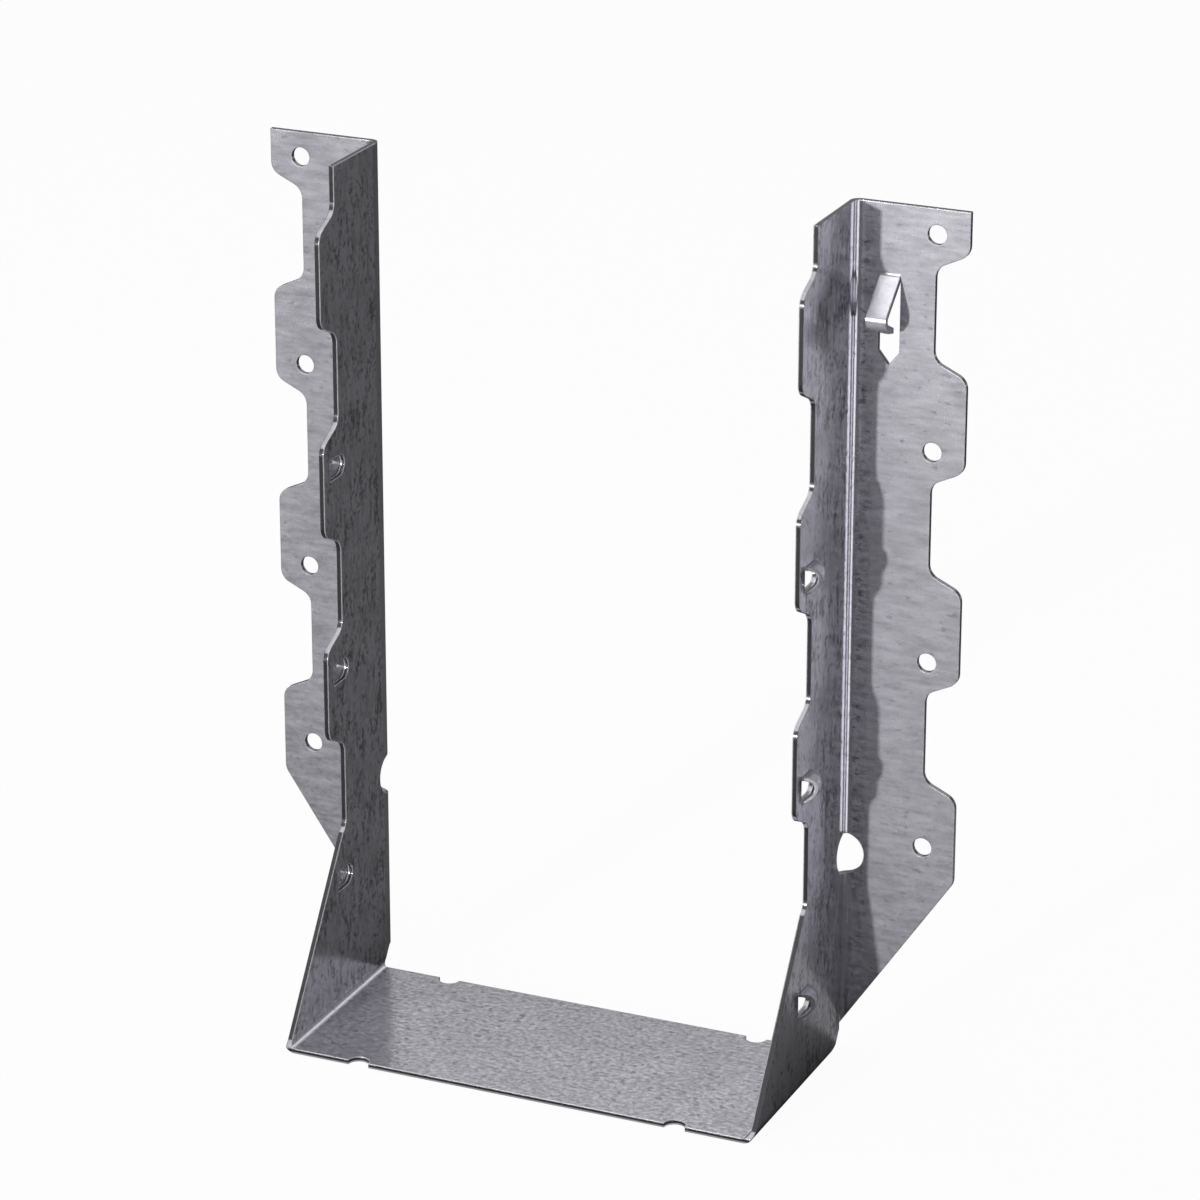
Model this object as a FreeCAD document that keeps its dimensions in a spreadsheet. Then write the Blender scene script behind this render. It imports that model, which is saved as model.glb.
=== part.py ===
import FreeCAD, Part
import Sketcher
import math
import os

# Face-mount joist hanger folded from one sheet of galvanised steel.
# Frame: X across, Y from the joist side to the face of the header, Z up.
# The origin is under the middle of the bounding box, on the underside of the seat.

Vector = FreeCAD.Vector
ORIGIN, H_AXIS, V_AXIS = -1, -1, -2
START, END = 1, 2

NODE = "hanger"

SIZES = [
    ("sheet", 1.2, "thickness of the sheet"),
    ("bend_inner", 1.2, "inside radius of the folds"),
    ("inside_width", 117.5, "clear width between the side plates"),
    ("tall", 209.5, "height of the side plates and flanges"),
    ("deep", 56.5, "face of the header to the front edge of the seat"),
    ("overall_width", 174.0, "outer edge to outer edge of the flanges"),
    ("seat_setback", 6.5, "face of the header to the back edge of the seat"),
    ("tab_reach", 32.4, "face of the header to the side plate tabs"),
    ("wave_deep", 7.95, "depth of the recesses between tabs"),
    ("wave_half", 12.65, "half a recess, between the middles of its two slopes"),
    ("wave_pitch", 51.0, "pitch of the recesses and of the upper nail holes"),
    ("wave_radius", 3.5, "radius at the tab corners"),
    ("wave_angle", 65.0, "slope of the tab ends, in degrees"),
    ("flange_wave_drop", 24.6, "top edge down to the middle of the first flange recess"),
    ("taper", 34.0, "slope of the lower edges from the upright, in degrees"),
    ("taper_foot", 5.5, "height where the flange tapers reach the side plates"),
    ("corner", 4.0, "radius where the tapers start"),
    ("nail_hole", 4.6, "diameter of the nail holes"),
    ("nail_margin", 7.8, "outer edge of a flange to the middle of its nail holes"),
    ("nail_drop", 6.05, "top edge down to the top nail holes"),
    ("nail_low_rise", 8.0, "start of the flange taper up to the lowest nail holes"),
    ("relief_hole", 10.1, "diameter of the hole on each upright fold"),
    ("relief_high", 50.8, "height of that hole"),
    ("notch", 5.2, "diameter of the notches in the seat edges"),
    ("notch_spread", 81.0, "distance between the notches of one edge"),
    ("guide_setback", 3.1, "front edge of a tab to the front of its nail guide"),
    ("guide_inner", 2.65, "inside radius of a nail guide"),
    ("guide_sheet", 0.8, "thickness of the stretched sheet of a guide"),
    ("guide_run", 5.0, "straight length of a guide, up to its round closed end"),
    ("guide_rake", 50.0, "slope of a guide's mouth, back from square to the plate, in degrees"),
    ("guide_left_rise", 4.3, "middle of a tab up to the guide in the left plate"),
    ("guide_right_drop", 4.9, "middle of a tab down to the guide in the right plate"),
    ("guide_left_low", 33.1, "height of the lowest guide in the left plate"),
    ("guide_right_low", 22.9, "height of the lowest guide in the right plate"),
    ("prong_inset", 1.85, "middle of a flange's narrow part in to the middle of the prong"),
    ("prong_drop", 16.3, "top edge down to the fold at the root of the prong"),
    ("prong_slot", 21.5, "length of the slot that the prong is cut from"),
    ("prong_wide", 5.1, "width of the prong"),
    ("prong_point", 3.2, "length of the pointed end"),
    ("prong_gap", 0.05, "shear gap along each side of the prong"),
    ("prong_root", 0.8, "inside radius of the fold at its root"),
    ("prong_leg", 10.2, "straight length of the sloping leg"),
    ("prong_lean", 50.0, "slope of that leg from the flange, in degrees"),
    ("prong_back", 65.0, "slope of the returning leg from the flange, in degrees"),
    ("prong_bend", 1.0, "inside radius of the fold at its nose"),
]


class Size:
    """A value together with the expression that yields it in the document."""

    def __init__(self, value, text):
        self.value = float(value)
        self.text = text

    def __add__(self, other):
        other = as_size(other)
        return Size(self.value + other.value, "(%s + %s)" % (self.text, other.text))

    def __sub__(self, other):
        other = as_size(other)
        return Size(self.value - other.value, "(%s - %s)" % (self.text, other.text))

    def __mul__(self, other):
        other = as_size(other)
        return Size(self.value * other.value, "(%s * %s)" % (self.text, other.text))

    def __truediv__(self, other):
        other = as_size(other)
        return Size(self.value / other.value, "(%s / %s)" % (self.text, other.text))

    def __neg__(self):
        return Size(-self.value, "(0 - %s)" % self.text)

    __radd__ = __add__
    __rmul__ = __mul__

    def __rsub__(self, other):
        return as_size(other) - self


def as_size(number):
    if isinstance(number, Size):
        return number
    return Size(number, repr(float(number)))


def sine(angle):
    return Size(math.sin(math.radians(angle.value)), "sin(%s)" % angle.text)


def cosine(angle):
    return Size(math.cos(math.radians(angle.value)), "cos(%s)" % angle.text)


def tangent(angle):
    return sine(angle) / cosine(angle)


def whole(number):
    return Size(math.floor(number.value), "floor(%s)" % number.text)


doc = FreeCAD.newDocument("joist_hanger")

sheet_of_sizes = doc.addObject("Spreadsheet::Sheet", "sizes")
S = {}
for row, (name, value, note) in enumerate(SIZES, start=1):
    sheet_of_sizes.set("A%d" % row, str(value))
    sheet_of_sizes.setAlias("A%d" % row, name)
    sheet_of_sizes.set("B%d" % row, note)
    S[name] = Size(value, "sizes." + name)
doc.recompute()

# Places that follow from the sizes
half_width = S["inside_width"] / 2
plate_outer = half_width + S["sheet"]
fold_outer = S["bend_inner"] + S["sheet"]
flange_start = half_width + fold_outer
flange_edge = S["overall_width"] / 2
header_face = S["deep"] / 2
front_edge = -header_face
plate_back = header_face - fold_outer
tab_front = header_face - S["tab_reach"]
recess_front = tab_front + S["wave_deep"]
recess_side = flange_edge - S["wave_deep"]

# How far a cut's outline runs past the edge that it cuts
free = 2.0

# Tapers of the flanges and of the side plates, both at the same slope
slope = tangent(S["taper"])
corner_run = S["corner"] * tangent(S["taper"] / 2)
taper_start = fold_outer * slope
flange_taper_top = S["taper_foot"] + (flange_edge - half_width) / slope
side_taper_top = fold_outer + (recess_front - front_edge - taper_start) / slope

# A recess's end: a rounded corner at the tab, a slope and a rounded corner at the bottom
round_deep = S["wave_radius"] * (1 - cosine(S["wave_angle"]))
round_high = S["wave_radius"] * sine(S["wave_angle"])
slope_high = (S["wave_deep"] - round_deep * 2) / tangent(S["wave_angle"])
wave_reach = round_high + slope_high / 2

# As many recesses as fit above the tapers, the side plates' first one on the top edge
side_room = S["tall"] - side_taper_top - corner_run
side_count = whole(side_room / S["wave_pitch"]) + 1
last_side_wave = S["tall"] - S["wave_pitch"] * (side_count - 1)
flange_wave_high = S["tall"] - S["flange_wave_drop"]
flange_room = flange_wave_high - S["wave_half"] - wave_reach - flange_taper_top - corner_run
flange_count = whole(flange_room / S["wave_pitch"]) + 1

body = doc.addObject("PartDesign::Body", NODE)
body.Label = NODE
planes = {item.Role: item for item in body.Origin.OriginFeatures}


def bind(target, path, size):
    target.setExpression(path, size.text)


def new_sketch(name, plane, shift=None):
    """A sketch on an origin plane, moved along the plane's normal by shift."""
    sketch = body.newObject("Sketcher::SketchObject", name)
    sketch.AttachmentSupport = [(planes[plane], "")]
    sketch.MapMode = "FlatFace"
    if shift is not None:
        bind(sketch, ".AttachmentOffset.Base.z", shift)
    return sketch


def fix(sketch, geometry, point, axis, size):
    """Hold one coordinate of a point at a distance from the sketch's origin."""
    kind = "Distance" + axis
    datum = Sketcher.Constraint(kind, ORIGIN, START, geometry, point, size.value)
    index = sketch.addConstraint(datum)
    bind(sketch, "Constraints[%d]" % index, size)


def point_of(corner):
    return Vector(corner[0].value, corner[1].value, 0)


def arc_through(first, last, radius, turn):
    """A minor arc between two corners. Turn is 1 for anticlockwise, -1 for clockwise."""
    chord = last - first
    middle = (first + last) * 0.5
    rise = math.sqrt(max(radius * radius - chord.Length * chord.Length / 4, 0))
    side = Vector(-chord.y, chord.x, 0).normalize() * turn
    centre = middle + side * rise
    begin, finish = (first, last) if turn > 0 else (last, first)
    angles = [math.atan2(p.y - centre.y, p.x - centre.x) for p in (begin, finish)]
    if angles[1] < angles[0]:
        angles[1] += 2 * math.pi
    circle = Part.Circle(centre, Vector(0, 0, 1), radius)
    return Part.ArcOfCircle(circle, angles[0], angles[1])


def draw(sketch, corners):
    """A closed outline. A corner is (x, y), or (x, y, radius, turn) where an arc starts."""
    corners = [tuple(as_size(n) for n in c[:3]) + tuple(c[3:]) for c in corners]
    count = len(corners)
    ends = []
    for i, corner in enumerate(corners):
        first, last = point_of(corner), point_of(corners[(i + 1) % count])
        if len(corner) == 2:
            geometry = sketch.addGeometry(Part.LineSegment(first, last), False)
            ends.append((geometry, START, END))
        else:
            arc = arc_through(first, last, corner[2].value, corner[3])
            geometry = sketch.addGeometry(arc, False)
            ends.append((geometry, START, END) if corner[3] > 0 else (geometry, END, START))
    for i in range(count):
        geometry, _, finish = ends[i]
        following, begin, _ = ends[(i + 1) % count]
        sketch.addConstraint(Sketcher.Constraint("Coincident", geometry, finish, following, begin))
    for (geometry, begin, _), corner in zip(ends, corners):
        fix(sketch, geometry, begin, "X", corner[0])
        fix(sketch, geometry, begin, "Y", corner[1])
        if len(corner) > 2:
            datum = Sketcher.Constraint("Radius", geometry, corner[2].value)
            bind(sketch, "Constraints[%d]" % sketch.addConstraint(datum), corner[2])


def draw_circle(sketch, x, y, diameter):
    x, y, radius = as_size(x), as_size(y), as_size(diameter / 2)
    circle = Part.Circle(Vector(x.value, y.value, 0), Vector(0, 0, 1), radius.value)
    geometry = sketch.addGeometry(circle, False)
    fix(sketch, geometry, 3, "X", x)
    fix(sketch, geometry, 3, "Y", y)
    datum = Sketcher.Constraint("Radius", geometry, radius.value)
    bind(sketch, "Constraints[%d]" % sketch.addConstraint(datum), radius)


def mirrored(corners):
    """The same outline on the other side of the sketch's vertical axis."""
    flipped = [(-c[0],) + tuple(c[1:2]) for c in corners]
    arcs = [tuple(c[2:]) for c in corners]
    flipped.reverse()
    arcs = arcs[::-1]
    arcs = arcs[1:] + arcs[:1]
    return [point + arc for point, arc in zip(flipped, arcs)]


def volume():
    doc.recompute()
    return body.Shape.Volume


def add(kind, name, sketch, length, both_ways=False, reverse=False):
    """A pad or pocket whose effect on the volume is checked."""
    before = volume() if body.Tip else 0.0
    feature = body.newObject("PartDesign::" + kind, name)
    feature.Profile = sketch
    feature.Refine = False
    bind(feature, "Length", as_size(length))
    feature.SideType = "Symmetric" if both_ways else "One side"
    feature.Reversed = reverse
    change = volume() - before
    wrong = change <= 0 if kind == "Pad" else change >= 0
    if wrong:
        raise RuntimeError("%s changes the volume by %.3f" % (name, change))
    return feature


def turn_about(kind, name, sketch, axis, angle, both_ways=False):
    """A revolution or groove about one line of its sketch, checked the same way."""
    before = volume()
    feature = body.newObject("PartDesign::" + kind, name)
    feature.Profile = sketch
    feature.Refine = False
    feature.ReferenceAxis = (sketch, [axis])
    feature.Angle = angle
    feature.Midplane = both_ways
    change = volume() - before
    wrong = change <= 0 if kind == "Revolution" else change >= 0
    if wrong:
        raise RuntimeError("%s changes the volume by %.3f" % (name, change))
    return feature


def repeat_down(name, feature, sketch, count):
    """The same cut again, one wave pitch lower each time."""
    before = volume()
    pattern = body.newObject("PartDesign::LinearPattern", name)
    pattern.Originals = [feature]
    pattern.Direction = (sketch, ["V_Axis"])
    pattern.Reversed = True
    pattern.Mode = "Spacing"
    bind(pattern, "Occurrences", count)
    bind(pattern, "Offset", S["wave_pitch"])
    body.Tip = pattern
    if volume() >= before:
        raise RuntimeError(name + " cuts nothing")
    return pattern


# Seat and side plates: a U of constant section, open at the top
inner_fold = half_width - S["bend_inner"]
section = new_sketch("channel_section", "XZ_Plane", -plate_back)
draw(section, [
    (-inner_fold, 0),
    (inner_fold, 0, fold_outer, 1),
    (plate_outer, fold_outer),
    (plate_outer, S["tall"]),
    (half_width, S["tall"]),
    (half_width, fold_outer, S["bend_inner"], -1),
    (inner_fold, S["sheet"]),
    (-inner_fold, S["sheet"], S["bend_inner"], -1),
    (-half_width, fold_outer),
    (-half_width, S["tall"]),
    (-plate_outer, S["tall"]),
    (-plate_outer, fold_outer, fold_outer, 1),
])
add("Pad", "channel", section, plate_back - front_edge)

# Nail guides: half-domes pressed outward, closed towards the header and open to the front
guide_outer = S["guide_inner"] + S["guide_sheet"]
guide_front = tab_front + S["guide_setback"]
guide_end = guide_front + S["guide_run"]
plate_middle = half_width + S["sheet"] / 2
rake = tangent(S["guide_rake"])


def bullet(sketch, side, radius):
    """Half of a guide's outline, from its axis in the middle of the plate outward."""
    axis = plate_middle * side
    draw(sketch, [
        (axis, guide_front),
        (axis + radius * side, guide_front),
        (axis + radius * side, guide_end, radius, side),
        (axis, guide_end + radius),
    ])


def guide(name, side, high):
    """A solid half-dome on the outer face, hollowed through the plate, with a raked mouth."""
    dome = new_sketch(name + "_dome_outline", "XY_Plane", high)
    bullet(dome, side, guide_outer)
    turn_about("Revolution", name + "_dome", dome, "Edge4", 180.0, both_ways=True)
    bore = new_sketch(name + "_bore_outline", "XY_Plane", high)
    bullet(bore, side, S["guide_inner"])
    turn_about("Groove", name + "_bore", bore, "Edge4", 360.0)
    mouth = new_sketch(name + "_mouth_outline", "XY_Plane", high)
    over = guide_outer * 2
    draw(mouth, [
        (plate_outer * side, guide_front - free),
        (plate_outer * side, guide_front),
        ((plate_outer + over) * side, guide_front + over * rake),
        ((plate_outer + over) * side, guide_front - free),
    ])
    add("Pocket", name + "_mouth", mouth, guide_outer * 3, both_ways=True)


for tab in range(1, int(side_count.value) - 1):
    tab_middle = S["tall"] - S["wave_pitch"] * (tab + 0.5)
    guide("guide_left_%d" % tab, -1, tab_middle + S["guide_left_rise"])
    guide("guide_right_%d" % tab, 1, tab_middle - S["guide_right_drop"])
guide("guide_left_low", -1, S["guide_left_low"])
guide("guide_right_low", 1, S["guide_right_low"])

# Flanges: each turns outward from its side plate through an upright fold
flange_plan = [
    (half_width, plate_back),
    (plate_outer, plate_back, S["bend_inner"], -1),
    (flange_start, header_face - S["sheet"]),
    (flange_edge, header_face - S["sheet"]),
    (flange_edge, header_face),
    (flange_start, header_face, fold_outer, 1),
]
plan = new_sketch("flange_plan", "XY_Plane")
draw(plan, flange_plan)
draw(plan, mirrored(flange_plan))
add("Pad", "flanges", plan, S["tall"])

# Front edges of the side plates: tabs above, a taper out to the seat below
corner_back = corner_run * sine(S["taper"])
corner_low = corner_run * cosine(S["taper"])
profile = new_sketch("front_profile", "YZ_Plane")
draw(profile, [
    (front_edge, S["sheet"]),
    (front_edge + taper_start, fold_outer),
    (recess_front - corner_back, side_taper_top - corner_low, S["corner"], 1),
    (recess_front, side_taper_top + corner_run),
    (recess_front, last_side_wave),
    (tab_front, last_side_wave),
    (tab_front, S["tall"] + free),
    (front_edge - free, S["tall"] + free),
    (front_edge - free, S["sheet"]),
])
wide = S["overall_width"]
add("Pocket", "front_cut", profile, wide, both_ways=True)


def recess(edge, depth_sign, middle):
    """A recess between two tabs: straight bottom, sloping ends, rounded corners."""
    rows = [S["wave_half"] + wave_reach, S["wave_half"] + slope_high / 2]
    rows += [S["wave_half"] - slope_high / 2, S["wave_half"] - wave_reach]
    cols = [as_size(0), round_deep, S["wave_deep"] - round_deep, S["wave_deep"]]
    spin = 1 if depth_sign > 0 else -1
    corners = [(edge - depth_sign * free, middle + rows[0])]
    for i, bend in zip(range(4), (spin, 0, -spin, 0)):
        corner = (edge + depth_sign * cols[i], middle + rows[i])
        corners.append(corner + ((S["wave_radius"], bend) if bend else ()))
    for i, bend in zip(range(3, -1, -1), (-spin, 0, spin, 0)):
        corner = (edge + depth_sign * cols[i], middle - rows[i])
        corners.append(corner + ((S["wave_radius"], bend) if bend else ()))
    corners.append((edge - depth_sign * free, middle - rows[0]))
    return corners


side_wave = new_sketch("side_recess_outline", "YZ_Plane")
draw(side_wave, recess(tab_front, 1, S["tall"]))
side_cut = add("Pocket", "side_recess_cut", side_wave, wide, both_ways=True)
repeat_down("side_recesses", side_cut, side_wave, side_count)

# Outer edges of the flanges: the same recesses, set between those of the side plates
flange_wave = new_sketch("flange_recess_outline", "XZ_Plane", -header_face)
wave = recess(flange_edge, -1, flange_wave_high)
draw(flange_wave, wave)
draw(flange_wave, mirrored(wave))
flange_cut = add("Pocket", "flange_recess_cut", flange_wave, S["sheet"], reverse=True)
repeat_down("flange_recesses", flange_cut, flange_wave, flange_count)

# Lower edges of the flanges taper in to the fold
lower = [
    (flange_edge, flange_taper_top + corner_run, S["corner"], -1),
    (flange_edge - corner_back, flange_taper_top - corner_low),
    (half_width, S["taper_foot"]),
    (half_width, -free),
    (flange_edge + free, -free),
    (flange_edge + free, flange_taper_top + corner_run),
]
taper_outline = new_sketch("flange_taper_outline", "XZ_Plane", -header_face)
draw(taper_outline, lower)
draw(taper_outline, mirrored(lower))
add("Pocket", "flange_taper", taper_outline, fold_outer, reverse=True)

# Back edge below the flanges runs forward to the seat, on the line of the taper
seat_back = header_face - S["seat_setback"]
back_foot = plate_back - (S["taper_foot"] - fold_outer) * slope
back = new_sketch("back_profile", "YZ_Plane")
draw(back, [
    (seat_back, -free),
    (seat_back, S["sheet"]),
    (back_foot, fold_outer),
    (plate_back, S["taper_foot"]),
    (header_face + free, S["taper_foot"]),
    (header_face + free, -free),
])
add("Pocket", "back_cut", back, wide, both_ways=True)

# Nail holes: in each flange one above each recess, and one below the last
nail_side = flange_edge - S["nail_margin"]


def nail_pair(name, high):
    """A hole in each flange at one height."""
    plan = new_sketch(name + "_plan", "XZ_Plane", -header_face)
    for side in (-1, 1):
        draw_circle(plan, nail_side * side, high, S["nail_hole"])
    return plan, add("Pocket", name, plan, S["sheet"], reverse=True)


top_nails, top_nails_cut = nail_pair("top_nail_holes", S["tall"] - S["nail_drop"])
repeat_down("upper_nail_holes", top_nails_cut, top_nails, flange_count)
nail_pair("low_nail_holes", flange_taper_top + S["nail_low_rise"])

# Relief hole on each upright fold, cut through the flange side and the plate side
on_fold = S["sheet"] / 2 + S["bend_inner"]
half_fold = on_fold * (math.pi / 4)
relief = new_sketch("relief_in_flange", "XZ_Plane", -header_face)
for side in (-1, 1):
    draw_circle(relief, (flange_start - half_fold) * side, S["relief_high"], S["relief_hole"])
add("Pocket", "relief_flange_cut", relief, fold_outer, reverse=True)
relief = new_sketch("relief_in_plates", "YZ_Plane")
draw_circle(relief, plate_back + half_fold, S["relief_high"], S["relief_hole"])
add("Pocket", "relief_plate_cut", relief, plate_outer * 2, both_ways=True)

# Half-round notches in the front and back edges of the seat
notches = new_sketch("seat_notches_plan", "XY_Plane")
for side in (-1, 1):
    for edge in (front_edge, seat_back):
        draw_circle(notches, S["notch_spread"] * (side / 2), edge, S["notch"])
add("Pocket", "seat_notches", notches, S["sheet"], reverse=True)

# Prong: a pointed tongue cut from one flange, leaning forward and folded back on itself
prong_side = (flange_start + recess_side) / 2 - S["prong_inset"]
prong_high = S["tall"] - S["prong_drop"]
prong_foot = prong_high - S["prong_slot"]
shoulder = prong_foot + S["prong_point"]
half_prong = S["prong_wide"] / 2
slot = new_sketch("prong_slot_outline", "XZ_Plane", -header_face)
draw(slot, [
    (prong_side - half_prong, prong_high),
    (prong_side + half_prong, prong_high),
    (prong_side + half_prong, shoulder),
    (prong_side, prong_foot),
    (prong_side - half_prong, shoulder),
])
add("Pocket", "prong_slot", slot, S["sheet"], reverse=True)


def step(start, heading, length):
    return (start[0] + heading[0] * length, start[1] + heading[1] * length)


# Headings in the plane of the profile, each with its normal towards the inside of the nose
lean, back_lean = S["prong_lean"], S["prong_back"]
down = (-sine(lean), -cosine(lean))
down_normal = (cosine(lean), -sine(lean))
home = (sine(back_lean), -cosine(back_lean))
home_normal = (cosine(back_lean), sine(back_lean))
root_outer = S["prong_root"] + S["sheet"]
nose_outer = S["prong_bend"] + S["sheet"]
degree = math.pi / 180
root_run = (S["prong_root"] + S["sheet"] / 2) * lean * degree
nose_run = (S["prong_bend"] + S["sheet"] / 2) * (lean + back_lean) * degree
return_run = S["prong_slot"] - root_run - S["prong_leg"] - nose_run

flange_front = header_face - S["sheet"]
root_centre = (flange_front - S["prong_root"], prong_high)
leg_top = step(root_centre, down_normal, S["prong_root"])
leg_end = step(leg_top, down, S["prong_leg"])
nose_centre = step(leg_end, down_normal, nose_outer)
return_start = step(nose_centre, home_normal, -nose_outer)
tip_low = step(return_start, home, return_run)
tip_high = step(tip_low, home_normal, S["sheet"])
lap = S["sheet"]

tongue = new_sketch("prong_profile", "YZ_Plane", prong_side)
draw(tongue, [
    (flange_front, prong_high + lap),
    (flange_front, prong_high, S["prong_root"], -1),
    leg_top,
    leg_end + (nose_outer, 1),
    return_start,
    tip_low,
    tip_high,
    step(nose_centre, home_normal, -S["prong_bend"]) + (S["prong_bend"], -1),
    step(leg_end, down_normal, S["sheet"]),
    step(root_centre, down_normal, root_outer) + (root_outer, 1),
    (header_face, prong_high),
    (header_face, prong_high + lap),
])
add("Pad", "prong", tongue, S["prong_wide"] - S["prong_gap"] * 2, both_ways=True)

# The prong's end is sharpened to a point
point_back = tip_high[0] - S["prong_point"] * home[0]
point = new_sketch("prong_point_outline", "XY_Plane", tip_high[1] - S["prong_point"])
for side in (-1, 1):
    flank = prong_side + half_prong * side
    draw(point, [
        (flank, point_back),
        (prong_side, tip_high[0]),
        (flank + free * side, tip_high[0]),
        (flank + free * side, point_back),
    ])
add("Pocket", "prong_tip", point, S["prong_point"] * 2, reverse=True)

for item in doc.Objects:
    if "Invalid" in item.State or "Error" in item.State:
        raise RuntimeError("%s is %s" % (item.Name, item.State))
shape = body.Shape
if shape.isNull() or not shape.isValid():
    raise RuntimeError("the shape of %s isn't valid" % body.Label)
if len(shape.Solids) != 1:
    raise RuntimeError("%s is %d solids" % (body.Label, len(shape.Solids)))

os.makedirs("parts", exist_ok=True)
shape.exportStep("parts/" + body.Label + ".step")
print(body.Label, "volume %.1f mm3" % shape.Volume, shape.BoundBox)
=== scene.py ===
import math

import bmesh
import bpy
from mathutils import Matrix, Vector

# Joist hanger of galvanised sheet, on a pale studio floor.
# Metres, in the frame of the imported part: X across, Y towards the header, Z up.
# The finish reads the part's own coordinates, in millimetres.

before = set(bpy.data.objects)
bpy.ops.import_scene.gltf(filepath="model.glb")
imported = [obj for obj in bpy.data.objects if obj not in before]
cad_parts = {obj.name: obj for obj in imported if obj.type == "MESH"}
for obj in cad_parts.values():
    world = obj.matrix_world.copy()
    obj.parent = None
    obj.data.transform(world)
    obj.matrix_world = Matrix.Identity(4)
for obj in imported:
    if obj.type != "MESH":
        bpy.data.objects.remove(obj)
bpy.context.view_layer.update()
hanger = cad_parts["hanger"]
scene = bpy.context.scene

MM = 0.001
TO_MILLIMETRES = (1000, 1000, 1000)

# The photograph's view, solved from the hanger's own edges and holes
VIEW_AZIMUTH = math.radians(23.86)
VIEW_DOWN = math.radians(20.77)
CAMERA_PLACE = Vector((0.433758, -0.959429, 0.513968))
SENSOR = 36.0
PHOTO_SIDE = 1200.0
FOCAL_PIXELS = 4906.168
PHOTO_CENTRE = (600.187, 597.88)


def add_camera():
    data = bpy.data.cameras.new("camera")
    data.sensor_width = SENSOR
    data.lens = FOCAL_PIXELS / PHOTO_SIDE * SENSOR
    data.shift_x = (PHOTO_SIDE / 2 - PHOTO_CENTRE[0]) / PHOTO_SIDE
    data.shift_y = (PHOTO_CENTRE[1] - PHOTO_SIDE / 2) / PHOTO_SIDE
    camera = bpy.data.objects.new("camera", data)
    camera.location = CAMERA_PLACE
    camera.rotation_euler = (math.pi / 2 - VIEW_DOWN, 0, VIEW_AZIMUTH)
    scene.collection.objects.link(camera)
    scene.camera = camera


class Nodes:
    """Short calls to add and join shader nodes in one tree."""

    def __init__(self, tree):
        self.tree = tree

    def add(self, kind, inputs=(), **settings):
        node = self.tree.nodes.new("ShaderNode" + kind)
        for name, value in settings.items():
            setattr(node, name, value)
        self.feed_all(node, dict(inputs))
        return node

    def feed(self, socket, value):
        if isinstance(value, bpy.types.NodeSocket):
            self.tree.links.new(value, socket)
        else:
            socket.default_value = value

    def feed_all(self, node, values):
        for name, value in values.items():
            self.feed(node.inputs[name], value)

    def math(self, operation, *values):
        return self.add("Math", dict(enumerate(values)), operation=operation).outputs[0]

    def product(self, first, *others):
        for other in others:
            first = self.math("MULTIPLY", first, other)
        return first

    def total(self, first, *others):
        for other in others:
            first = self.math("ADD", first, other)
        return first

    def less(self, first, second):
        return self.math("SUBTRACT", first, second)

    def rest(self, value):
        return self.less(1.0, value)

    def either(self, first, second):
        return self.math("MAXIMUM", first, second)

    def above(self, value, limit):
        return self.math("GREATER_THAN", value, limit)

    def below(self, value, limit):
        return self.math("LESS_THAN", value, limit)

    def within(self, value, limit):
        return self.math("MAXIMUM", self.math("MINIMUM", value, limit), -limit)

    def noise(self, place, scale, detail, roughness=0.55, distortion=0.0):
        inputs = {"Vector": place, "Scale": scale, "Detail": detail}
        inputs.update({"Roughness": roughness, "Distortion": distortion})
        return self.add("TexNoise", inputs).outputs["Fac"]

    def stretch(self, place, scale):
        return self.add("VectorMath", {0: place, 1: scale}, operation="MULTIPLY").outputs[0]

    def mix_value(self, factor, first, second):
        return self.add("Mix", {0: factor, 2: first, 3: second}, data_type="FLOAT").outputs[0]

    def mix_vector(self, factor, first, second):
        return self.add("Mix", {0: factor, 4: first, 5: second}, data_type="VECTOR").outputs[1]

    def mix_colour(self, factor, first, second):
        return self.add("Mix", {0: factor, 6: first, 7: second}, data_type="RGBA").outputs[2]

    def ramp(self, value, low, high, out_low=0.0, out_high=1.0):
        inputs = {"Value": value, "From Min": low, "From Max": high}
        inputs.update({"To Min": out_low, "To Max": out_high})
        return self.add("MapRange", inputs, interpolation_type="SMOOTHSTEP").outputs[0]

    def fade(self, value, low, high):
        return self.ramp(value, low, high, 1.0, 0.0)


def new_group(name, inputs, outputs):
    """A node group. Inputs are given as (name, type, default), outputs as (name, type)."""
    tree = bpy.data.node_groups.new(name, "ShaderNodeTree")
    for label, kind, default in inputs:
        socket = tree.interface.new_socket(
            label, in_out="INPUT", socket_type="NodeSocket" + kind
        )
        if default is not None:
            socket.default_value = default
    for label, kind in outputs:
        tree.interface.new_socket(label, in_out="OUTPUT", socket_type="NodeSocket" + kind)
    given = tree.nodes.new("NodeGroupInput")
    result = tree.nodes.new("NodeGroupOutput")
    return tree, Nodes(tree), given, result


# Where the parts of the hanger lie, in millimetres: OUT from the middle plane, BACK from
# the origin and UP from the floor. A pair gives where a change starts and where it ends.
PLATE_MIDDLE = 59.35
SIDE_TURN = 20.0
SIDE_OUT = (57.0, 59.0)
PAST_UPRIGHT_FOLD = 1.8
FLANGE_PAST_FOLD = (2.5, 6.0)
UPRIGHT_FOLD_BACK = (23.5, 24.4)
UPRIGHT_FOLD_OUT = (61.3, 62.3)
SEAT_FOLD_UP = (2.3, 3.0)
SEAT_FOLD_OUT = (57.2, 57.7)
RAISED_OUT = (60.1, 60.4)
RAISED_BACK = (26.5, 26.8)

# Painted shade and sheen: flanges painted darker to the left and low down, where less light
# falls, and a little lighter to the right; the right plate painted brighter along its front,
# where it mirrors the lit flange
FLANGE_SHADE_TO_THE_LEFT = (-60.0, 60.0, 0.12, -0.03)
FLANGE_SHADE_LOW_DOWN = (25.0, 75.0, 0.14, 0.0)
SHEEN_BACK = (-10.0, 8.0)
SHEEN_OUT = (40.0, 50.0)


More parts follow.
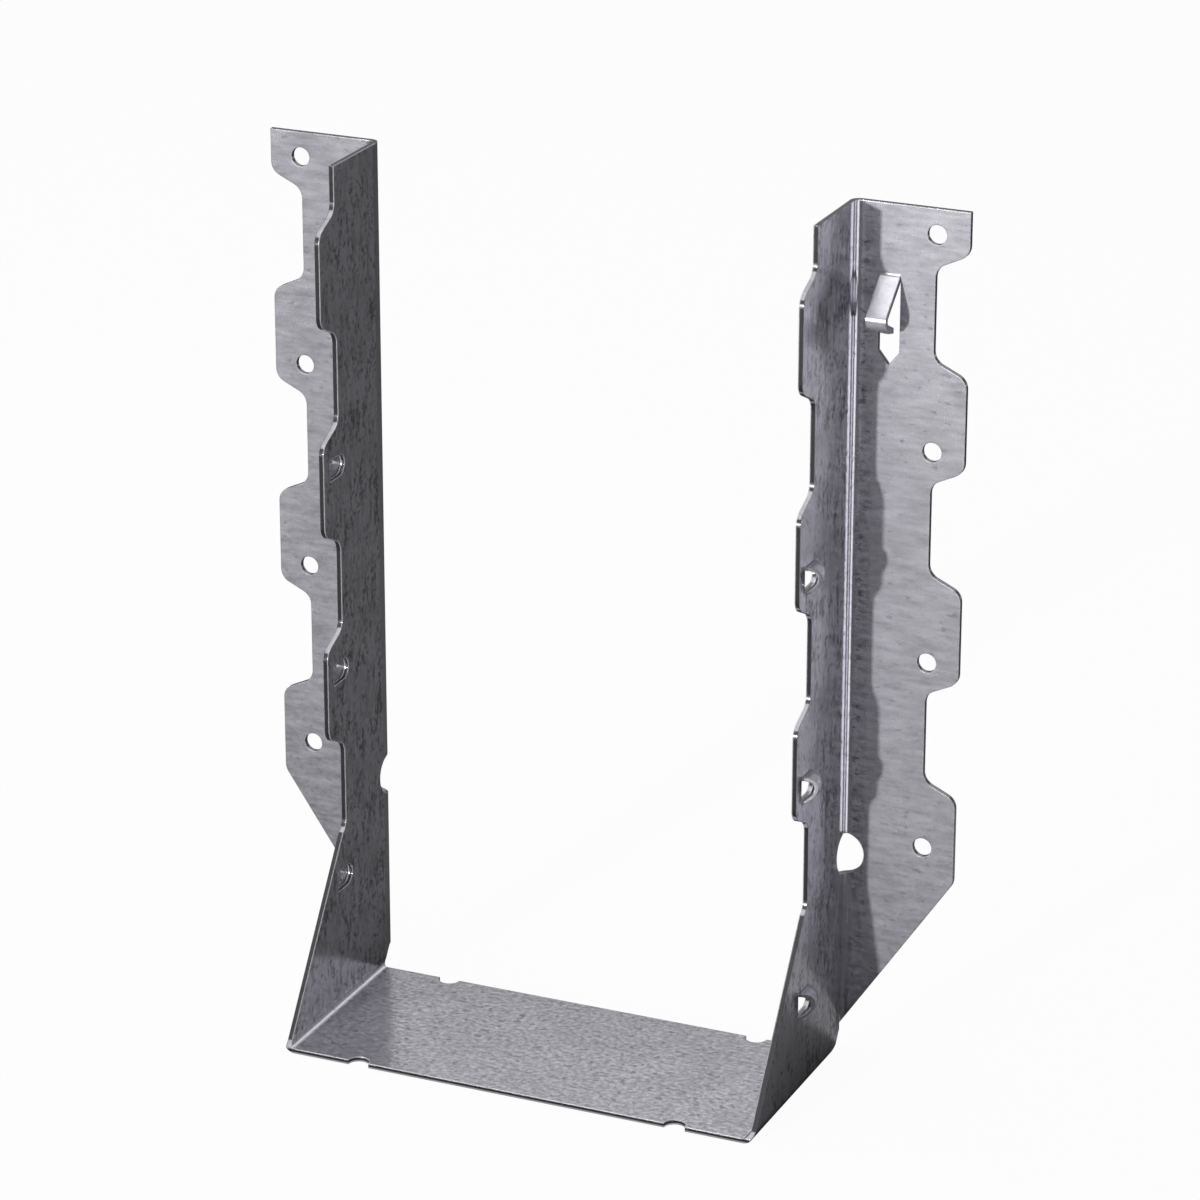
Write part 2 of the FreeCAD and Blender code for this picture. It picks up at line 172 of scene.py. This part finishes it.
def flat_sheet_group():
    """Where a point lies on the hanger.

    Flat is its place on the sheet as it was rolled, along the strap and across it. Side is 1
    on the plates and flanges, Flange on the flanges alone, Fold on the folds and Raised on the
    guides and the prong. Beyond turns the grain at the upright folds. Flange Shade is painted
    shade on the flanges, and Front Sheen a painted sheen along the right plate's front.
    """
    tree, n, given, result = new_group(
        "flat sheet",
        [("Place", "Vector", None)],
        [
            ("Flat", "Vector"),
            ("Flange", "Float"),
            ("Beyond", "Float"),
            ("Side", "Float"),
            ("Fold", "Float"),
            ("Raised", "Float"),
            ("Flange Shade", "Float"),
            ("Front Sheen", "Float"),
        ],
    )
    millimetres = n.stretch(given.outputs["Place"], TO_MILLIMETRES)
    x, y, z = n.add("SeparateXYZ", {0: millimetres}).outputs
    width = n.math("ABSOLUTE", x)
    which_side = n.within(n.math("DIVIDE", x, SIDE_TURN), 1.0)
    along = n.total(n.within(x, PLATE_MIDDLE), n.product(z, which_side))
    past_fold = n.either(n.less(width, PLATE_MIDDLE), 0.0)
    across = n.total(y, past_fold)
    upright = n.product(n.ramp(y, *UPRIGHT_FOLD_BACK), n.fade(width, *UPRIGHT_FOLD_OUT))
    low = n.product(n.fade(z, *SEAT_FOLD_UP), n.ramp(width, *SEAT_FOLD_OUT))
    n.feed_all(result, {
        "Flat": n.add("CombineXYZ", {0: along, 1: across, 2: 0.0}).outputs[0],
        "Flange": n.ramp(past_fold, *FLANGE_PAST_FOLD),
        "Beyond": n.above(past_fold, PAST_UPRIGHT_FOLD),
        "Side": n.ramp(width, *SIDE_OUT),
        "Fold": n.either(upright, low),
        "Raised": n.product(n.ramp(width, *RAISED_OUT), n.fade(y, *RAISED_BACK)),
        "Flange Shade": n.total(n.ramp(x, *FLANGE_SHADE_TO_THE_LEFT), n.ramp(z, *FLANGE_SHADE_LOW_DOWN)),
        "Front Sheen": n.product(n.fade(y, *SHEEN_BACK), n.ramp(x, *SHEEN_OUT)),
    })
    return tree


# Grain of the finish: how each noise is stretched on the strap, and then on a flange
STREAK_GRAIN = ((0.35, 0.8, 1.0), (1.3, 0.16, 1.0))
MOTTLE_GRAIN = ((0.75, 0.9, 1.0), (1.1, 0.55, 1.0))
BAND_GRAIN = ((0.12, 0.42, 1.0), (0.5, 0.12, 1.0))

# Scale and detail of each noise, then its roughness and distortion where they matter
CLOUD_NOISE = (0.06, 2.0)
PATCH_NOISE = (0.1, 2.0)
STREAK_NOISE = (1.0, 3.0, 0.6)
MOTTLE_NOISE = (1.0, 3.0, 0.6)
SPECK_NOISE = (0.7, 1.0, 0.4, 0.3)
BAND_NOISE = (1.0, 2.0, 0.5)

# How much each noise says in the tone. Bands have one share on the seat, one on the sides.
MOTTLE_SHARE = 0.6
STREAK_SHARE = 0.25
CLOUD_SHARE = 0.15
BAND_SHARES = (0.1, 0.45)
PATCH_FORCE = (0.4, 0.6, 0.4, 1.3)

# Dark flecks: thicker where the clouds are, rarer on the flanges, faint on bent metal
FLECK_CLUSTERS = (0.3, 0.7, -0.04, 0.03)
FLECK_RARER_ON_FLANGE = 0.03
FLECK_LEVELS = (0.62, 0.72)
FLECK_DEPTHS = (0.65, 0.45)
FLECK_LOST_ON_BENDS = 0.35

# Shade, from dull zinc at 0 to bright zinc at 1
PLATE_LIFT = 0.27
# Painted sheen: how much brighter the right plate's front is painted, where it mirrors the lit
# flange
SHEEN_LIFT = 0.25
RAISED_SHADE = 0.62
RAISED_SHARE = 0.7
FOLD_SHADE = 0.95
FOLD_SHARE = 0.8

ROUGHNESS_BY_MOTTLE = (0.3, 0.7, 0.04, -0.04)
FOLD_ROUGHNESS = 0.12
PLATE_METAL = 0.92

# Height of the coating, and how far flanges and bent metal are smoother
MOTTLE_HEIGHT = 0.65
STREAK_HEIGHT = 0.15
FLECK_HEIGHT = 0.15
FLANGE_CALM = 0.85
BEND_CALM = 0.95


def zinc_group(flat_sheet):
    """The face of a zinc coating: soft clouds, bands, mottle, rolling streaks and dark flecks."""
    tree, n, given, result = new_group(
        "zinc coating",
        [
            ("Place", "Vector", None),
            ("Bright", "Color", (0.6, 0.6, 0.62, 1)),
            ("Dull", "Color", (0.5, 0.5, 0.52, 1)),
            ("Fleck", "Color", (0.25, 0.25, 0.28, 1)),
            ("Sheet Roughness", "Float", 0.2),
            ("Flange Roughness", "Float", 0.25),
            ("Seat Contrast", "Float", 3.0),
            ("Side Contrast", "Float", 6.0),
            ("Flange Contrast", "Float", 1.5),
            ("Sheet Metallic", "Float", 0.85),
            ("Flange Metallic", "Float", 0.5),
        ],
        [("Color", "Color"), ("Roughness", "Float"), ("Metallic", "Float"), ("Height", "Float")],
    )
    wanted = given.outputs
    sheet = n.add("Group", {}, node_tree=flat_sheet)
    n.feed(sheet.inputs["Place"], wanted["Place"])
    flat, flange, beyond, side, fold, raised, flange_shade, front_sheen = sheet.outputs
    plate = n.product(side, n.rest(flange))
    bent = n.either(fold, raised)

    streak_place = n.stretch(flat, n.mix_vector(beyond, *STREAK_GRAIN))
    mottle_place = n.stretch(flat, n.mix_vector(beyond, *MOTTLE_GRAIN))
    band_place = n.stretch(flat, n.mix_vector(beyond, *BAND_GRAIN))
    clouds = n.noise(flat, *CLOUD_NOISE)
    streaks = n.noise(streak_place, *STREAK_NOISE)
    mottle = n.noise(mottle_place, *MOTTLE_NOISE)
    specks = n.noise(mottle_place, *SPECK_NOISE)
    bands = n.noise(band_place, *BAND_NOISE)

    crowding = n.less(n.ramp(clouds, *FLECK_CLUSTERS), n.product(flange, FLECK_RARER_ON_FLANGE))
    fleck = n.ramp(n.total(specks, crowding), *FLECK_LEVELS)
    tone = n.total(
        n.product(mottle, MOTTLE_SHARE),
        n.product(streaks, STREAK_SHARE),
        n.product(clouds, CLOUD_SHARE),
        n.product(n.less(bands, 0.5), n.mix_value(side, *BAND_SHARES)),
    )

    force = n.mix_value(side, wanted["Seat Contrast"], wanted["Side Contrast"])
    force = n.mix_value(flange, force, wanted["Flange Contrast"])
    patches = n.ramp(n.noise(flat, *PATCH_NOISE), *PATCH_FORCE)
    force = n.product(force, n.mix_value(plate, 1.0, patches))
    shade = n.total(n.product(n.less(tone, 0.5), force), 0.5)
    # Painted sheen along the right plate's front, added to the plates' lift
    lift = n.total(n.product(front_sheen, SHEEN_LIFT), PLATE_LIFT)
    shade = n.total(shade, n.product(plate, lift))
    # Painted shade: flanges darker to the left and low down, a little lighter to the right
    shade = n.less(shade, n.product(flange_shade, flange))
    shade = n.mix_value(n.product(raised, RAISED_SHARE), shade, RAISED_SHADE)
    shade = n.mix_value(n.product(fold, FOLD_SHARE), shade, FOLD_SHADE)
    coating = n.mix_colour(shade, wanted["Dull"], wanted["Bright"])
    depth = n.less(n.mix_value(flange, *FLECK_DEPTHS), n.product(bent, FLECK_LOST_ON_BENDS))

    rough = n.mix_value(flange, wanted["Sheet Roughness"], wanted["Flange Roughness"])
    rough = n.total(rough, n.ramp(mottle, *ROUGHNESS_BY_MOTTLE))
    metal = n.mix_value(flange, wanted["Sheet Metallic"], wanted["Flange Metallic"])
    metal = n.mix_value(plate, metal, PLATE_METAL)

    height = n.total(n.product(mottle, MOTTLE_HEIGHT), n.product(streaks, STREAK_HEIGHT))
    height = n.less(height, n.product(fleck, FLECK_HEIGHT))
    calm = n.either(n.product(flange, FLANGE_CALM), n.product(bent, BEND_CALM))
    n.feed_all(result, {
        "Color": n.mix_colour(n.product(fleck, depth), coating, wanted["Fleck"]),
        "Roughness": n.mix_value(fold, rough, FOLD_ROUGHNESS),
        "Metallic": n.mix_value(fold, metal, 1.0),
        "Height": n.product(height, n.rest(calm)),
    })
    return tree


# Bounds of the same parts for the sheared edges, in millimetres
RAISED_FROM = 60.2
HOLLOW_FROM = 60.0
FLANGE_FROM = 61.15
FLANGE_FRONT = 26.8
PRONG_FROM = 63.6
SIDE_FROM = 57.5
BACK_FROM = 25.7
SEAT_UP_TO = 2.5
PLATE_BACK_TO = 25.3
PLATE_UP_FROM = 2.6
PLATE_OUT_TO = 59.96
SEAT_TOP = 1.3
SEAT_OUT_TO = 57.3

# How squarely a point faces out of the sheet where each mask starts and ends
CUT_FACING = (0.45, 0.95)
ARRIS_STARTS = (0.1, 0.3)
ARRIS_ENDS = (0.97, 0.995)
HOLLOW_FACING = (0.05, 0.2)
BURR_HIGHLIGHT_STARTS = (0.06, 0.25)
BURR_HIGHLIGHT_ENDS = (0.9, 0.98)

# Painted shade in the guides' hollows: little on the left ones, which the light reaches, nearly
# black on the right ones, which are turned from it
HOLLOW_SHADE_BY_SIDE = (-50.0, 50.0, 0.2, 0.95)


def cut_edge_group():
    """Where the sheet was sheared, from the way a point faces on its part of the hanger.

    Cut is 1 on sheared edges and hole walls and 0 on the faces of the sheet, and Arris is the
    corner between the two. Burr Highlight is the corner on the inner side of the plates and the
    seat, the burr of the shear with a painted highlight. Hollow is the inner side of the guides
    and the prong, and Dark is how much painted shade it gets.
    """
    tree, n, given, result = new_group(
        "cut edge",
        [("Place", "Vector", None), ("Facing", "Vector", None)],
        [
            ("Cut", "Float"),
            ("Arris", "Float"),
            ("Hollow", "Float"),
            ("Dark", "Float"),
            ("Burr Highlight", "Float"),
        ],
    )
    millimetres = n.stretch(given.outputs["Place"], TO_MILLIMETRES)
    x, y, z = n.add("SeparateXYZ", {0: millimetres}).outputs
    facing_x, facing_y, facing_z = n.add("SeparateXYZ", {0: given.outputs["Facing"]}).outputs
    width = n.math("ABSOLUTE", x)
    before_flange = n.below(y, FLANGE_FRONT)
    raised = n.product(n.above(width, RAISED_FROM), before_flange)
    flange = n.product(n.above(width, FLANGE_FROM), n.above(y, FLANGE_FRONT))
    prong = n.product(n.above(width, PRONG_FROM), before_flange)

    on_side = n.product(n.above(width, SIDE_FROM), n.rest(n.either(flange, prong)))
    on_back = n.either(n.above(y, BACK_FROM), raised)
    on_seat = n.either(n.below(z, SEAT_UP_TO), raised)
    face = n.total(
        n.product(facing_x, facing_x, on_side),
        n.product(facing_y, facing_y, on_back),
        n.product(facing_z, facing_z, on_seat),
    )

    inward = n.product(facing_x, n.product(n.math("SIGN", x), -1.0))
    hidden = n.product(n.above(width, HOLLOW_FROM), before_flange)
    hollow = n.product(n.ramp(inward, *HOLLOW_FACING), hidden)

    on_plate = n.product(
        n.below(y, PLATE_BACK_TO), n.above(z, PLATE_UP_FROM), n.below(width, PLATE_OUT_TO)
    )
    on_strap = n.product(n.below(z, SEAT_TOP), n.below(width, SEAT_OUT_TO))
    inner = n.total(n.product(inward, on_plate), n.product(facing_z, on_strap))
    n.feed_all(result, {
        "Cut": n.fade(face, *CUT_FACING),
        "Arris": n.product(n.ramp(face, *ARRIS_STARTS), n.fade(face, *ARRIS_ENDS)),
        "Hollow": hollow,
        "Dark": n.product(hollow, n.ramp(x, *HOLLOW_SHADE_BY_SIDE)),
        "Burr Highlight": n.product(n.ramp(inner, *BURR_HIGHLIGHT_STARTS), n.fade(inner, *BURR_HIGHLIGHT_ENDS)),
    })
    return tree


ZINC_FINISH = {
    "Bright": (0.90, 0.887, 0.965, 1),
    "Dull": (0.32, 0.315, 0.342, 1),
    "Fleck": (0.22, 0.216, 0.24, 1),
    "Sheet Roughness": 0.19,
    "Flange Roughness": 0.24,
    "Seat Contrast": 3.0,
    "Side Contrast": 5.8,
    "Flange Contrast": 1.8,
    "Sheet Metallic": 0.85,
    "Flange Metallic": 0.66,
}
CUT_STEEL = (0.26, 0.256, 0.272, 1)
CUT_COVER = 0.9
CUT_ROUGHNESS = 0.12
ARRIS_ROUGHNESS = 0.5
# Painted highlight: the burr on the inner corner of the sheared edges, near white and less
# metallic so it reads as a bright line
BURR_HIGHLIGHT_COLOUR = (0.95, 0.94, 0.98, 1)
BURR_HIGHLIGHT_METAL = 0.45
# Painted shade: the colour blended into the guides' hollows
HOLLOW_SHADE_COLOUR = (0.06, 0.059, 0.064, 1)
HOLLOW_METAL = 0.9
BUMP_STRENGTH = 0.5
BUMP_DEPTH = 0.1 * MM
EDGE_ROUND = 0.42 * MM
EDGE_SAMPLES = 4


def galvanised_sheet():
    """Zinc on the faces, steel on the sheared edges, and every sharp edge a little blunt."""
    material = bpy.data.materials.new("galvanised_sheet")
    material.use_nodes = True
    n = Nodes(material.node_tree)
    shader = material.node_tree.nodes["Principled BSDF"]
    place = n.add("TexCoord").outputs["Object"]
    blunt = n.add("Bevel", {"Radius": EDGE_ROUND}, samples=EDGE_SAMPLES).outputs[0]
    zinc = n.add("Group", {}, node_tree=zinc_group(flat_sheet_group()))
    n.feed_all(zinc, {"Place": place, **ZINC_FINISH})
    edge = n.add("Group", {}, node_tree=cut_edge_group())
    n.feed_all(edge, {"Place": place, "Facing": blunt})
    cut, arris, hollow, dark, burr_highlight = edge.outputs

    covered = n.product(cut, CUT_COVER)
    colour = n.mix_colour(covered, zinc.outputs["Color"], CUT_STEEL)
    # Painted highlight along the burr of the sheared edges
    colour = n.mix_colour(burr_highlight, colour, BURR_HIGHLIGHT_COLOUR)
    # Painted shade in the guides' hollows, nearly black on the right
    colour = n.mix_colour(dark, colour, HOLLOW_SHADE_COLOUR)
    rough = n.mix_value(cut, zinc.outputs["Roughness"], CUT_ROUGHNESS)
    rough = n.mix_value(arris, rough, ARRIS_ROUGHNESS)
    metal = n.mix_value(cut, zinc.outputs["Metallic"], 1.0)
    metal = n.mix_value(burr_highlight, metal, BURR_HIGHLIGHT_METAL)
    metal = n.mix_value(hollow, metal, HOLLOW_METAL)
    bump = n.add("Bump", {
        "Height": n.product(zinc.outputs["Height"], n.rest(covered)),
        "Strength": BUMP_STRENGTH,
        "Distance": BUMP_DEPTH,
        "Normal": blunt,
    })
    n.feed_all(shader, {
        "Base Color": colour,
        "Roughness": rough,
        "Metallic": metal,
        "Normal": bump.outputs[0],
    })
    return material


def dress(node, material):
    node.data.materials.clear()
    node.data.materials.append(material)
    for slot in node.material_slots:
        slot.material = material


def lay_flat(name, shape, material):
    """A flat shape of the studio, facing up."""
    shape.normal_update()
    bmesh.ops.reverse_faces(shape, faces=[face for face in shape.faces if face.normal.z < 0])
    mesh = bpy.data.meshes.new(name)
    shape.to_mesh(mesh)
    shape.free()
    mesh.materials.append(material)
    made = bpy.data.objects.new(name, mesh)
    scene.collection.objects.link(made)
    return made


FLOOR_SIDE = 60.0
FLOOR_WHITE = 0.8
FLOOR_GLOW = 0.96


def pale_floor():
    """A pale floor: white where it is seen directly or mirrored, and still shaded by the part."""
    material = bpy.data.materials.new("pale_floor")
    material.use_nodes = True
    tree = material.node_tree
    tree.nodes.clear()
    n = Nodes(tree)
    path = n.add("LightPath").outputs
    seen = n.either(path["Is Camera Ray"], path["Is Glossy Ray"])
    seen = n.either(seen, path["Is Transmission Ray"])
    matt = n.add("BsdfDiffuse", {"Color": (FLOOR_WHITE, FLOOR_WHITE, FLOOR_WHITE, 1)})
    white = n.add("Emission", {"Color": (1, 1, 1, 1), "Strength": 1.0})
    share = n.product(seen, FLOOR_GLOW)
    mix = n.add("MixShader", {0: share, 1: matt.outputs[0], 2: white.outputs[0]})
    n.feed_all(n.add("OutputMaterial"), {"Surface": mix.outputs[0]})
    shape = bmesh.new()
    bmesh.ops.create_grid(shape, x_segments=1, y_segments=1, size=FLOOR_SIDE / 2)
    return lay_flat("floor", shape, material)


# Cards on the floor round the foot of the right fold. They leave a white gap from CARD_NEAR
# round to CARD_FROM, which the fold mirrors as its bright lines.
FOLD_FOOT = (0.06, 0.027)
CARD_FROM = -18
CARD_TO = 300
CARD_NEAR = 305
GREY_FROM = 38
GREY_TO = 64
CARD_GREY = 0.125
GREY_LEVEL = 0.42
CARD_ROUGHNESS = 0.9
CARD_SHINE = 0.1

# Name, first and last angle in degrees, reach and height in metres, grey
CARDS = (
    ("dark_card", CARD_FROM, CARD_NEAR, 0.42, 0.0006, CARD_GREY),
    ("dark_card_far", CARD_FROM, CARD_TO, 1.6, 0.0004, CARD_GREY),
    ("dark_card_foot", CARD_NEAR - 360, CARD_FROM, 0.112, 0.0005, CARD_GREY),
    ("grey_card", GREY_FROM, GREY_TO, 1.0, 0.0008, GREY_LEVEL),
)
FAN_STEP = 10
WELD = 0.01 * MM


def fan(low, high, reach, height):
    """A slice of a circle round the foot of the fold, from the low to the high angle."""
    start = math.radians(low)
    centre = Vector((*FOLD_FOOT, height))
    rim = centre + Vector((math.cos(start), math.sin(start), 0)) * reach
    shape = bmesh.new()
    spoke = shape.edges.new([shape.verts.new(centre), shape.verts.new(rim)])
    bmesh.ops.spin(
        shape,
        geom=[spoke, *spoke.verts],
        cent=centre,
        axis=(0, 0, 1),
        angle=math.radians(high - low),
        steps=max(2, int((high - low) / FAN_STEP)),
        use_merge=False,
    )
    bmesh.ops.remove_doubles(shape, verts=shape.verts, dist=WELD)
    return shape


def floor_card(name, low, high, reach, height, grey):
    """A card that gives bare metal its darker side. Only reflections see it."""
    material = bpy.data.materials.new(name)
    material.use_nodes = True
    shader = material.node_tree.nodes["Principled BSDF"]
    shader.inputs["Base Color"].default_value = (grey, grey, grey, 1)
    shader.inputs["Roughness"].default_value = CARD_ROUGHNESS
    shader.inputs["Specular IOR Level"].default_value = CARD_SHINE
    card = lay_flat(name, fan(low, high, reach, height), material)
    card.visible_camera = False
    card.visible_diffuse = False
    card.visible_shadow = False
    card.visible_transmission = False


MIDDLE = Vector((0, 0, 0.1))
KEY_WAY = Vector((-5.4, -23.3, 3.1)).normalized()
KEY_DISTANCE = 2.4
KEY_SIZE = 0.1
KEY_POWER = 47.0
TOP_PLACE = (-0.37, -0.35, 1.25)
TOP_AIM = (-0.37, -0.349, 0)
TOP_SIZE = 0.9
TOP_LENGTH = 1.6
TOP_POWER = 6.8
BACK_PLACE = (-0.2, 1.05, 1.0)
BACK_SIZE = 1.5
BACK_LENGTH = 0.9
BACK_POWER = 2.2
WORLD_LEVEL = 0.22


def area_lamp(name, place, target, power, size, length=None):
    """A lamp that is a rectangle where it has a length, and a disk where it has none."""
    data = bpy.data.lights.new(name, "AREA")
    data.shape = "RECTANGLE" if length else "DISK"
    data.size = size
    data.size_y = length or size
    data.energy = power
    lamp = bpy.data.objects.new(name, data)
    lamp.location = place
    lamp.rotation_euler = (Vector(target) - Vector(place)).to_track_quat("-Z", "Y").to_euler()
    scene.collection.objects.link(lamp)


def light_studio():
    area_lamp("key", MIDDLE + KEY_WAY * KEY_DISTANCE, MIDDLE, KEY_POWER, KEY_SIZE)
    area_lamp("top", TOP_PLACE, TOP_AIM, TOP_POWER, TOP_SIZE, TOP_LENGTH)
    area_lamp("back", BACK_PLACE, MIDDLE, BACK_POWER, BACK_SIZE, BACK_LENGTH)
    world = bpy.data.worlds.new("studio")
    scene.world = world
    world.use_nodes = True
    background = world.node_tree.nodes["Background"]
    background.inputs["Color"].default_value = (1, 1, 1, 1)
    background.inputs["Strength"].default_value = WORLD_LEVEL


add_camera()
dress(hanger, galvanised_sheet())
pale_floor()
for card in CARDS:
    floor_card(*card)
light_studio()
scene.view_settings.view_transform = "Standard"
